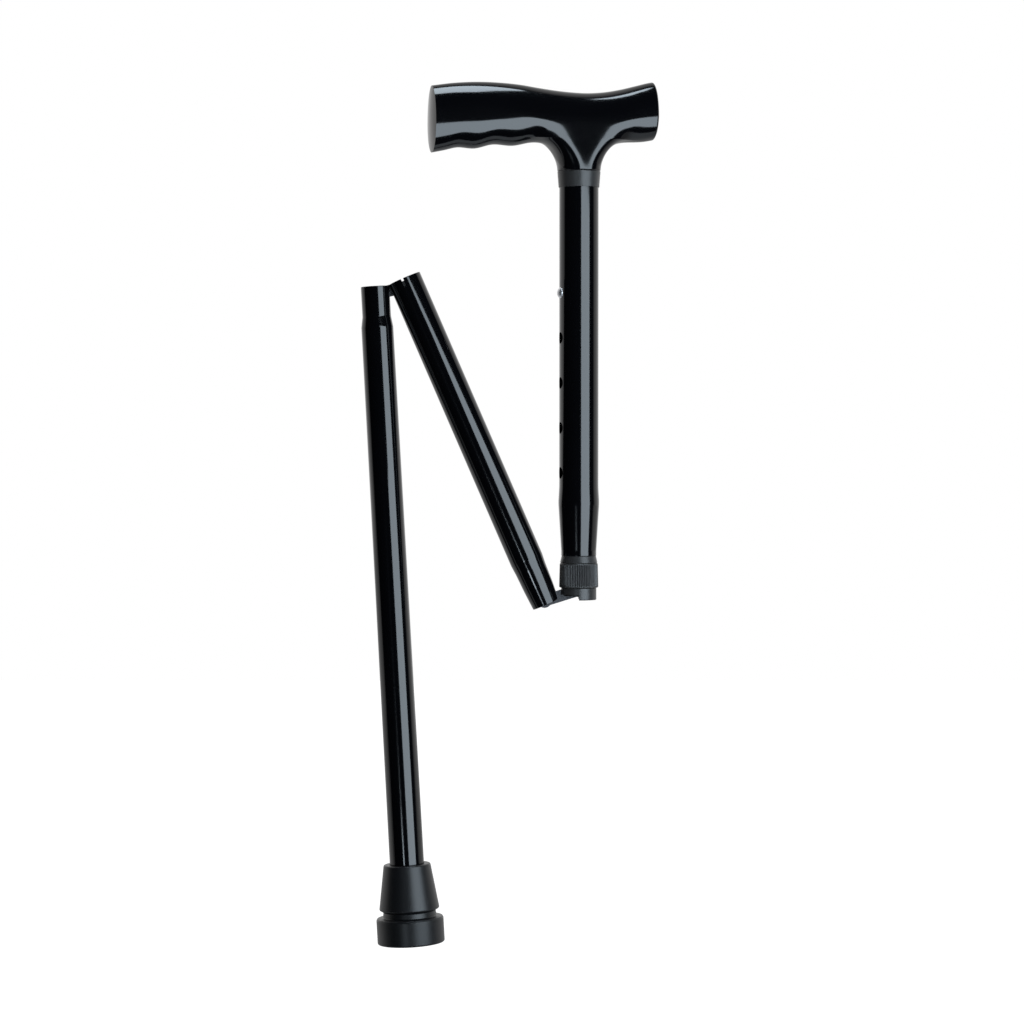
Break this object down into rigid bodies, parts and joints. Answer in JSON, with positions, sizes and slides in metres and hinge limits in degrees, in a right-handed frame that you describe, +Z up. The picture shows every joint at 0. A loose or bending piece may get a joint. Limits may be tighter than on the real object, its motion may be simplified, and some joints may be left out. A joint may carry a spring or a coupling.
{
  "type": "folding cane",
  "caption": "Black folding walking cane with a derby grip, a height setting with snap button and lock ring, cord-drawn fold joints and a rubber tip, half folded.",
  "frame": {"origin": "where the axis of the grip crosses the axis of the upper shaft, inside the palm of the hand", "axes": "+Z up along the upper shaft, +X from the nose of the grip towards its heel, +Y away from the viewer, across the grip"},
  "size_m": [0.1687, 0.0559, 0.4896],
  "materials": {
    "grip_gloss": "gloss",
    "tube_paint": "gloss black coat on aluminium",
    "dark_plastic": "matte",
    "steel": "bright",
    "cord": "woven",
    "rubber": "matte"
  },
  "bodies": {
    "upper": {"handle": "grip_gloss", "handle_collar": "dark_plastic", "upper_tube": "tube_paint", "lock_bush": "dark_plastic"},
    "lock_ring": {"lock_ring": "dark_plastic"},
    "inner": {"inner_tube": "tube_paint", "guide_bush": "dark_plastic", "mouth_ferrule": "dark_plastic", "snap_spring": "steel", "upper_cord_anchor": "dark_plastic", "upper_draw_cord": "cord"},
    "button": {"snap_button": "steel"},
    "upper_slide": {"upper_slider": "dark_plastic", "upper_slider_pin": "steel"},
    "upper_link": {"upper_link": "steel"},
    "middle": {"middle_tube": "tube_paint", "upper_neck_plug": "dark_plastic", "upper_neck_pin": "steel", "lower_cord_anchor": "dark_plastic", "lower_draw_cord": "cord"},
    "lower_slide": {"lower_slider": "dark_plastic", "lower_slider_pin": "steel"},
    "lower_link": {"lower_link": "steel"},
    "lower": {"lower_tube": "tube_paint", "lower_neck_plug": "dark_plastic", "lower_neck_pin": "steel", "tip": "rubber", "tip_washer": "steel"}
  },
  "joints": [
    {"name": "lock_ring_turn", "type": "hinge", "parent": "upper", "child": "lock_ring", "pos_m": [0, 0, -0.2605], "axis": [0, 0, 1], "range_deg": [0, 120]},
    {"name": "height_slide", "type": "slide", "parent": "upper", "child": "inner", "axis": [0, 0, -1], "range_m": [0, 0.1016], "deforming": ["snap_button", "snap_spring"]},
    {"name": "button_press", "type": "slide", "parent": "inner", "child": "button", "axis": [0.9563, 0.2924, 0], "range_m": [0, 0.003], "stiffness_N_per_m": 1500, "springref_m": -0.001, "deforming": ["snap_spring"]},
    {"name": "upper_draw", "type": "slide", "parent": "inner", "child": "upper_slide", "axis": [0, 0, 1], "range_m": [-0.00159, 0.01213], "deforming": ["upper_draw_cord"]},
    {"name": "upper_fold", "type": "hinge", "parent": "upper_slide", "child": "upper_link", "pos_m": [0, 0, -0.269], "axis": [0, -1, 0], "range_deg": [-9.6, 72.8]},
    {"name": "upper_neck_fold", "type": "hinge", "parent": "upper_link", "child": "middle", "pos_m": [-0.0194, 0, -0.27508], "axis": [0, -1, 0], "range_deg": [-11.2, 84.1]},
    {"name": "lower_draw", "type": "slide", "parent": "middle", "child": "lower_slide", "axis": [0.3987, 0, -0.9171], "range_m": [-0.00097, 0.00905], "deforming": ["lower_draw_cord"]},
    {"name": "lower_fold", "type": "hinge", "parent": "lower_slide", "child": "lower_link", "pos_m": [-0.09672, 0, -0.09726], "axis": [0, 1, 0], "range_deg": [-8.8, 80]},
    {"name": "lower_neck_fold", "type": "hinge", "parent": "lower_link", "child": "lower", "pos_m": [-0.11496, 0, -0.10157], "axis": [0, 1, 0], "range_deg": [-8.8, 80]}
  ],
  "couplings": [
    {"joint": "upper_fold", "follows": "upper_draw", "rad_per_m": 104.46},
    {"joint": "upper_neck_fold", "follows": "upper_draw", "rad_per_m": 120.72},
    {"joint": "lower_fold", "follows": "lower_draw", "rad_per_m": 153.9},
    {"joint": "lower_neck_fold", "follows": "lower_draw", "rad_per_m": 153.9}
  ]
}
